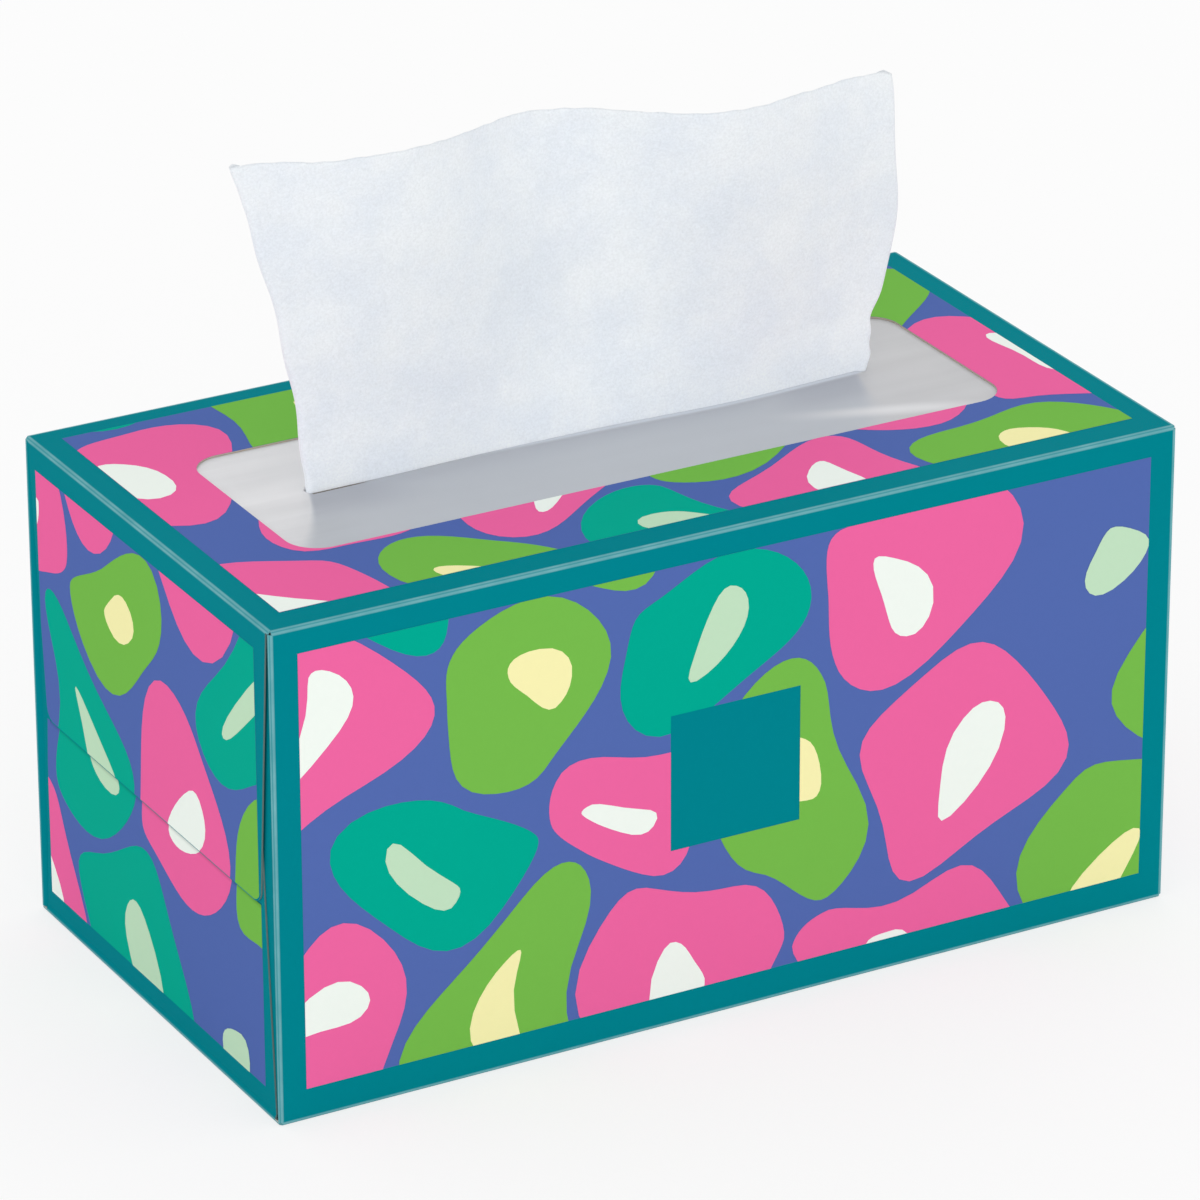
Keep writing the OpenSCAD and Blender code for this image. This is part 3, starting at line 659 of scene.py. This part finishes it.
def makeStack(material):
    depth, width = stackHigh.y - stackLow.y, stackHigh.x - stackLow.x
    pitch = (stackHigh.z - stackLow.z) / stack["layers"]
    group = bpy.data.node_groups.new("interfoldedStack", "GeometryNodeTree")
    group.interface.new_socket(name="Geometry", in_out="OUTPUT", socket_type="NodeSocketGeometry")
    sizes = {
        "Layers": ("NodeSocketInt", stack["layers"]),
        "Pitch": ("NodeSocketFloat", pitch),
        "Width": ("NodeSocketFloat", width - 2 * stack["shift"]),
        "Depth": ("NodeSocketFloat", depth - 2 * stack["shift"]),
        "Corner": ("NodeSocketFloat", pitch * stack["corner"]),
        "Shift": ("NodeSocketFloat", stack["shift"]),
        "Seed": ("NodeSocketInt", stack["seed"]),
    }
    keys = {name: addInput(group, name, kind, value) for name, (kind, value) in sizes.items()}
    size = newNode(group, "NodeGroupInput").outputs

    # One point for each layer
    lowest = mathNode(group, "MULTIPLY_ADD", size["Pitch"], 0.5, stackLow.z)
    points = newNode(
        group, "GeometryNodeMeshLine", Count=size["Layers"],
        Start_Location=vectorNode(group, Z=lowest), Offset=vectorNode(group, Z=size["Pitch"]),
    )

    # A layer: its rounded outline, swept along the box
    outline = newNode(
        group, "GeometryNodeCurvePrimitiveQuadrilateral", Width=size["Depth"], Height=size["Pitch"],
    )
    rounded = newNode(
        group, "GeometryNodeFilletCurve", {"mode": "POLY"},
        Curve=outline.outputs[0], Radius=size["Corner"], Count=stack["cornerSteps"],
    )
    leftEnd = mathNode(group, "MULTIPLY", size["Width"], -0.5)
    rail = newNode(
        group, "GeometryNodeCurvePrimitiveLine", {"mode": "DIRECTION"},
        Start=vectorNode(group, X=leftEnd), Direction=(1, 0, 0), Length=size["Width"],
    )
    layer = newNode(
        group, "GeometryNodeCurveToMesh",
        Curve=rail.outputs[0], Profile_Curve=rounded.outputs[0], Fill_Caps=True,
    )
    placed = newNode(
        group, "GeometryNodeInstanceOnPoints", Points=points.outputs[0], Instance=layer.outputs[0],
    )

    # Each layer lies a little off its place
    reach = vectorNode(group, X=size["Shift"], Y=size["Shift"])
    back = newNode(group, "ShaderNodeVectorMath", {"operation": "SCALE"}, Vector=reach, Scale=-1.0)
    random = newNode(
        group, "FunctionNodeRandomValue", {"data_type": "FLOAT_VECTOR"},
        Min=back.outputs[0], Max=reach, Seed=size["Seed"],
    )
    moved = newNode(
        group, "GeometryNodeTranslateInstances",
        Instances=placed.outputs[0], Translation=random.outputs[0],
    )
    real = newNode(group, "GeometryNodeRealizeInstances", Geometry=moved.outputs[0])
    painted = newNode(group, "GeometryNodeSetMaterial", Geometry=real.outputs[0], Material=material)
    newNode(group, "NodeGroupOutput", Geometry=painted.outputs[0])

    holder = newPiece("stack_holder", [(0, 0, 0)], [])
    modifier = holder.modifiers.new("layers", "NODES")
    modifier.node_group = group
    for name, key in keys.items():
        modifier[key] = sizes[name][1]
    mesh = plainMesh(holder)
    bpy.data.objects.remove(holder)
    mesh.name = "folded_sheets"
    piece = bpy.data.objects.new("folded_sheets", mesh)
    bpy.context.scene.collection.objects.link(piece)
    return piece


foldedSheets = makeStack(makeTissueMaterial("stacked_tissue_paper"))
print("stack made:", len(foldedSheets.data.polygons), "faces")


# Frosted film behind the window, with soft ripples and the slit along the raised tissue

film = {
    "margin": 10 * mm,  # the flat part that is glued under the board
    "fade": 6 * mm,  # the ripples grow over this width inside the window's edge
    "slitPast": 0.05 * mm,  # how far the slit runs past the folds of the tissue
    "lipGap": 0.12 * mm,  # between the front lip and the tissue
    "slitEnd": 3.15 * mm,  # width of the slit round each fold
    "slitOpen": 11 * mm,  # width behind the tissue
    "slitGrow": 22 * mm,
    # The tissue draws the front lip up along most of its length, and not at its left end
    "lipLift": 0.75 * mm,
    "lipWidth": 1.2 * mm,
    "liftStart": 20 * mm,
    "liftGrow": 60 * mm,
    "liftEnd": 4 * mm,
    "ripple": 0.22 * mm,
    # Ripples: share, turn for each mm back and each mm along, start, and where along they set in, in mm
    "ripples": [
        (0.9, 0.42, 0.01, 0.5, (-40, -90)),
        (0.7, 0.3, -0.016, 2, (20, 80)),
        (0.35, 0.15, 0.05, 1, None),  # everywhere
    ],
    "columns": 260,
    "endColumns": 26,
    "frontRows": 40,
    "frontPacking": 1.6,  # the front rows lie closer together towards the lip
    "backRows": 26,
    "weldReach": 0.002 * mm,
    "roughness": 0.36,
    "specular": 0.2,
    "alpha": 0.9,
    "left": "#e2e2e4",
    "right": "#c9c9cb",
    "sides": (-60 * mm, 75 * mm),  # where the left tone ends and the right one begins
    # Painted shadow of the tissue: in front of it the film is dimmer. The ends of that zone lean, and soften
    # with their from the tissue, the depth being their distance from it
    "dim": "#c4c8ce",
    "dimLeft": -73.3 * mm,
    "dimLeftLean": -0.33,
    "dimLeftBow": -8.5,  # times the square of the depth
    "dimLeftReach": 0.65,  # times the softness
    "dimRight": 68.3 * mm,
    "dimRightLean": -0.35,
    "dimRightReach": 1.2,
    "dimSoftness": 0.9 * mm,
    "dimSoftening": 6.0,  # times the square of the depth
    # The painted shadow is darkest along the tissue, and at both ends near it
    "shade": "#b0b3bc",
    "shadeDepth": 11 * mm,
    "shadeShare": 0.42,
    "endMiddle": -4 * mm,
    "endReach": (38 * mm, 62 * mm),
    "endDepth": (18 * mm, 6 * mm),
    "endShare": 0.75,
    # One painted highlight, a pale streak near the right end of the front edge. A pair is where a change
    # begins and where it ends
    "streak": "#e3e3e5",
    "streakY": 1.5 * mm,
    "streakSlope": -0.35,
    "streakWidth": 4.5 * mm,
    "streakIn": (34 * mm, 64 * mm),
    "streakOut": (92 * mm, 72 * mm),
    "lip": "#d0d6e0",
    "lipSharp": (0.12, 0.6),
    # Painted shadow of the slit's gap: a brown-grey edge of the lip at the slit's left end
    "gapShadow": "#6b6258",
    "gapShadowFrom": 0.55,  # shares of the lip's width
    "gapShadowGrow": 0.1,
    "gapShadowSkip": 1 * mm,  # from the slit's left end
    "gapShadowReach": 17 * mm,
    "gapShadowFade": 6 * mm,
    # Painted light and shade of long soft folds along the box, strongest at its left end
    "foldStretch": (9, 120, 1),
    "foldSpread": 0.42,
    "foldShare": 0.18,
    "foldLeft": (-66 * mm, -80 * mm),
    "foldLeftShare": 0.75,
    "foldRight": (62 * mm, 72 * mm),
    "foldRightShare": 0.4,
    "cloudSize": 60.0,
    "cloudSpread": 0.03,
    "hazeSize": 1400.0,
    "hazeDepth": 0.01 * mm,
}


def slitLines():  # the film's stations along the box, both edges of the slit there, and the slit's ends
    f = film
    rise = (filmHigh.z - standHeight()) / standLength()
    _, sheetX, depth, _, _, main = sheetRow(rise, 1.0)
    line = raised["lineY"] + depth - depth[main].mean() - raised["thickness"] / 2 - f["lipGap"]
    leftEnd = sheetX.min() - raised["thickness"] / 2 - f["slitPast"]
    rightEnd = sheetX.max() + raised["thickness"] / 2 + f["slitPast"]
    middle, half = (leftEnd + rightEnd) / 2, (rightEnd - leftEnd) / 2
    x = np.concatenate([
        np.linspace(filmLow.x, leftEnd, f["endColumns"], endpoint=False),
        middle - half * np.cos(np.linspace(0, math.pi, f["columns"], endpoint=False)),
        np.linspace(rightEnd, filmHigh.x, f["endColumns"]),
    ])
    fromEnd = np.maximum(half - np.abs(x - middle), 0)
    rounding = np.sqrt(1 - (1 - np.clip(2 * fromEnd / f["slitEnd"], 0, 1)) ** 2)
    lip = np.interp(x, sheetX[main], line[main])
    front = lip + f["slitEnd"] / 2 * (1 - rounding)
    growth = (f["slitOpen"] - f["slitEnd"]) * ease((fromEnd - f["slitEnd"]) / f["slitGrow"])
    return x, front, front + f["slitEnd"] * rounding + growth, leftEnd, rightEnd


def addPointValue(piece, name, values):
    share = piece.data.attributes.new(name, "FLOAT", "POINT")
    share.data.foreach_set("value", values.astype(np.float32))


def makeFilm():
    f = film
    x, front, back, leftEnd, rightEnd = slitLines()
    count = len(x)
    points, quads = [], []

    def strip(lowEdge, highEdge, rows, packing, lipWidth):
        base = len(points)
        for row in range(rows + 1):
            y = lowEdge + (highEdge - lowEdge) * (1 - (1 - row / rows) ** packing)
            near = np.clip(1 - (highEdge - y) / lipWidth, 0, 1) if lipWidth else np.zeros(count)
            points.extend(zip(x, y, near))
        for row in range(rows):
            for column in range(count - 1):
                a = base + row * count + column
                quads.append((a, a + 1, a + count + 1, a + count))

    strip(np.full(count, filmLow.y), front, f["frontRows"], f["frontPacking"], f["lipWidth"])
    strip(back, np.full(count, filmHigh.y), f["backRows"], 1, 0)  # even rows and no lip
    px, py, near = np.array(points).T
    drawn = ease((px - leftEnd - f["liftStart"]) / f["liftGrow"]) * ease((rightEnd - px) / f["liftEnd"])
    drawn = near * near * drawn
    # painted shadow of the slit's gap along the lip near its left end
    gapShadow = np.clip((near - f["gapShadowFrom"]) / f["gapShadowGrow"], 0, 1) * (px > leftEnd + f["gapShadowSkip"])
    gapShadow = gapShadow * ease((leftEnd + f["gapShadowReach"] - px) / f["gapShadowFade"])
    inFront = np.arange(len(px)) < count * (f["frontRows"] + 1)
    inset = np.minimum.reduce([px - filmLow.x, filmHigh.x - px, py - filmLow.y, filmHigh.y - py])
    loose = ease((inset - f["margin"]) / f["fade"])
    ripple = 0
    for share, turnBack, turnAlong, start, ends in f["ripples"]:
        wave = share * np.sin(turnBack * py / mm + turnAlong * px / mm + start)
        ripple = ripple + (wave if ends is None else wave * setIn(px / mm, ends))
    z = (filmLow.z + filmHigh.z) / 2 + loose * f["ripple"] * (ripple - 1) + f["lipLift"] * drawn
    piece = newPiece("frosted_film", np.stack([px, py, z], 1).tolist(), quads)
    addPointValue(piece, "lipShare", drawn)
    addPointValue(piece, "gapShadowShare", gapShadow)
    addPointValue(piece, "frontShare", inFront)
    weld = piece.modifiers.new("weld", "WELD")
    weld.merge_threshold = f["weldReach"]
    solid = piece.modifiers.new("solid", "SOLIDIFY")
    solid.thickness = filmHigh.z - filmLow.z
    solid.offset = 0.0
    mesh = plainMesh(piece)
    piece.modifiers.clear()
    piece.data = mesh
    return piece


def filmShadowZone(tree, x, depth):  # 1 in the painted shadow in front of the tissue, 0 outside it
    f = film
    square = product(tree, depth, depth)
    softness = mathNode(tree, "MULTIPLY_ADD", square, f["dimSoftening"], f["dimSoftness"])
    leftEdge = mathNode(tree, "MULTIPLY_ADD", depth, f["dimLeftLean"], f["dimLeft"])
    leftEdge = mathNode(tree, "MULTIPLY_ADD", square, f["dimLeftBow"], leftEdge)
    rightEdge = mathNode(tree, "MULTIPLY_ADD", depth, f["dimRightLean"], f["dimRight"])
    fromLeft = mathNode(tree, "DIVIDE", mathNode(tree, "SUBTRACT", x, leftEdge), softness)
    fromRight = mathNode(tree, "DIVIDE", mathNode(tree, "SUBTRACT", rightEdge, x), softness)
    return product(
        tree,
        smoothStep(tree, fromLeft, -f["dimLeftReach"], f["dimLeftReach"]),
        smoothStep(tree, fromRight, -f["dimRightReach"], f["dimRightReach"]),
        pieceAttribute(tree, "frontShare"),
    )


def filmShadowStrength(tree, x, depth):  # how dark the painted shadow is
    f = film
    fromMiddle = mathNode(tree, "ABSOLUTE", mathNode(tree, "SUBTRACT", x, f["endMiddle"]))
    nearTissue = product(tree, smoothStep(tree, depth, f["shadeDepth"], 0.0), f["shadeShare"])
    atEnds = product(
        tree,
        smoothStep(tree, fromMiddle, *f["endReach"]),
        smoothStep(tree, depth, *f["endDepth"]),
        f["endShare"],
    )
    return mathNode(tree, "MAXIMUM", nearTissue, atEnds)


def filmHighlightStreak(tree, x, y):
    f = film
    line = mathNode(tree, "MULTIPLY_ADD", x, f["streakSlope"], f["streakY"])
    offLine = mathNode(tree, "ABSOLUTE", mathNode(tree, "SUBTRACT", y, line))
    return product(
        tree,
        smoothStep(tree, offLine, f["streakWidth"], 0.0),
        smoothStep(tree, x, *f["streakIn"]),
        smoothStep(tree, x, *f["streakOut"]),
    )


def filmFoldShadeAndCloud(tree, spot, x):
    f = film
    fold = noiseNode(tree, spot, 1.0, detail=3.0, stretch=f["foldStretch"])
    share = mathNode(
        tree, "MULTIPLY_ADD", smoothStep(tree, x, *f["foldLeft"]), f["foldLeftShare"], f["foldShare"],
    )
    share = mathNode(tree, "MULTIPLY_ADD", smoothStep(tree, x, *f["foldRight"]), f["foldRightShare"], share)
    cloud = noiseNode(tree, spot, f["cloudSize"], detail=3.0)
    fold = product(tree, centred(tree, fold, f["foldSpread"]), share)
    return mathNode(tree, "ADD", fold, centred(tree, cloud, f["cloudSpread"]))


def makeFilmMaterial():
    f = film
    material, tree, shader, place = newMaterial("frosted_film", f["roughness"], f["specular"])
    spot = place.outputs["Object"]
    x, y, _ = separate(tree, spot)
    depth = mathNode(tree, "SUBTRACT", raised["lineY"], y)  # how far in front of the tissue
    # painted shadow of the tissue on the film, in two tones
    dim = filmShadowZone(tree, x, depth)
    colour = mixColour(tree, smoothStep(tree, x, *f["sides"]), f["left"], f["right"])
    colour = mixColour(tree, dim, colour, f["dim"])
    colour = mixColour(tree, product(tree, dim, filmShadowStrength(tree, x, depth)), colour, f["shade"])
    # painted highlight of the streak
    colour = mixColour(tree, filmHighlightStreak(tree, x, y), colour, f["streak"])
    lipShare = smoothStep(tree, pieceAttribute(tree, "lipShare"), *f["lipSharp"])
    colour = mixColour(tree, lipShare, colour, f["lip"])
    # painted shadow of the slit's gap
    gapShadowShare = smoothStep(tree, pieceAttribute(tree, "gapShadowShare"), 0.0, 1.0)
    colour = mixColour(tree, gapShadowShare, colour, f["gapShadow"])
    # painted light and shade of folds, and a random cloudy tone
    feed(tree, shader.inputs["Base Color"], shiftBrightness(tree, colour, filmFoldShadeAndCloud(tree, spot, x)))
    haze = noiseNode(tree, spot, f["hazeSize"])
    feed(tree, shader.inputs["Normal"], bumpNode(tree, haze, f["hazeDepth"]))
    shader.inputs["Alpha"].default_value = f["alpha"]
    return material


frostedFilm = makeFilm()
giveMaterial(frostedFilm, makeFilmMaterial())
print("film made:", len(frostedFilm.data.polygons), "faces")


# Floor, world and lamps

studio = {
    "floorSize": 6.0,
    "floorColour": "#fafafa",
    "floorShade": 0.3,  # share of the floor's look that comes from its own shading
    "worldStrength": 0.905,
    # Lamps: place, size and watts
    "lamps": {
        "key": ((-1.25, -2.2, 0.7), 1.8, 14.0),
        "fill": ((1.6, 2.0, 1.3), 1.8, 4.0),
    },
}
white = (1, 1, 1, 1)


def cameraView(tree):  # 1 for what the camera sees directly, in gloss or through film
    rays = newNode(tree, "ShaderNodeLightPath").outputs
    seen = mathNode(tree, "MAXIMUM", rays["Is Camera Ray"], rays["Is Glossy Ray"])
    return mathNode(tree, "MAXIMUM", seen, rays["Is Transmission Ray"])


def mixShaders(tree, factor, first, second):
    node = newNode(tree, "ShaderNodeMixShader", Fac=factor)
    feed(tree, node.inputs[1], first.outputs[0])
    feed(tree, node.inputs[2], second.outputs[0])
    return node.outputs[0]


def makeFloor():
    half = studio["floorSize"] / 2
    corners = [(-half, -half, 0), (half, -half, 0), (half, half, 0), (-half, half, 0)]
    floor = newPiece("floor", corners, [(0, 1, 2, 3)])
    material = bpy.data.materials.new("pale_floor")
    material.use_nodes = True
    tree = material.node_tree
    tree.nodes.clear()
    matte = newNode(tree, "ShaderNodeBsdfDiffuse", Color=studio["floorColour"])
    glow = newNode(tree, "ShaderNodeEmission", Strength=1.0)
    share = product(tree, cameraView(tree), 1 - studio["floorShade"])
    newNode(tree, "ShaderNodeOutputMaterial", Surface=mixShaders(tree, share, matte, glow))
    giveMaterial(floor, material)


def makeWorld():
    world = bpy.data.worlds.new("studio")
    bpy.context.scene.world = world
    world.use_nodes = True
    tree = world.node_tree
    tree.nodes.clear()
    light = newNode(tree, "ShaderNodeBackground", Color=white, Strength=studio["worldStrength"])
    backdrop = newNode(tree, "ShaderNodeBackground", Color=white)
    newNode(tree, "ShaderNodeOutputWorld", Surface=mixShaders(tree, cameraView(tree), light, backdrop))


def makeLamp(name, place, size, power):
    data = bpy.data.lights.new(name, "AREA")
    data.energy = power
    data.size = size
    lamp = bpy.data.objects.new(name, data)
    aim = Vector((0, 0, cartonHigh.z / 2)) - Vector(place)
    lamp.matrix_world = Matrix.Translation(place) @ aim.to_track_quat("-Z", "Y").to_matrix().to_4x4()
    bpy.context.scene.collection.objects.link(lamp)


makeFloor()
makeWorld()
for lampName, (lampPlace, lampSize, lampPower) in studio["lamps"].items():
    makeLamp(lampName, lampPlace, lampSize, lampPower)
bpy.context.scene.view_settings.view_transform = "Standard"
print("studio lit")


# What each piece stands for

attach(softTissue, "root")
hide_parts("raised_tissue")
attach(foldedSheets, "root")
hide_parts("tissue_stack")
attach(frostedFilm, "root")
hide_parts("window_film")
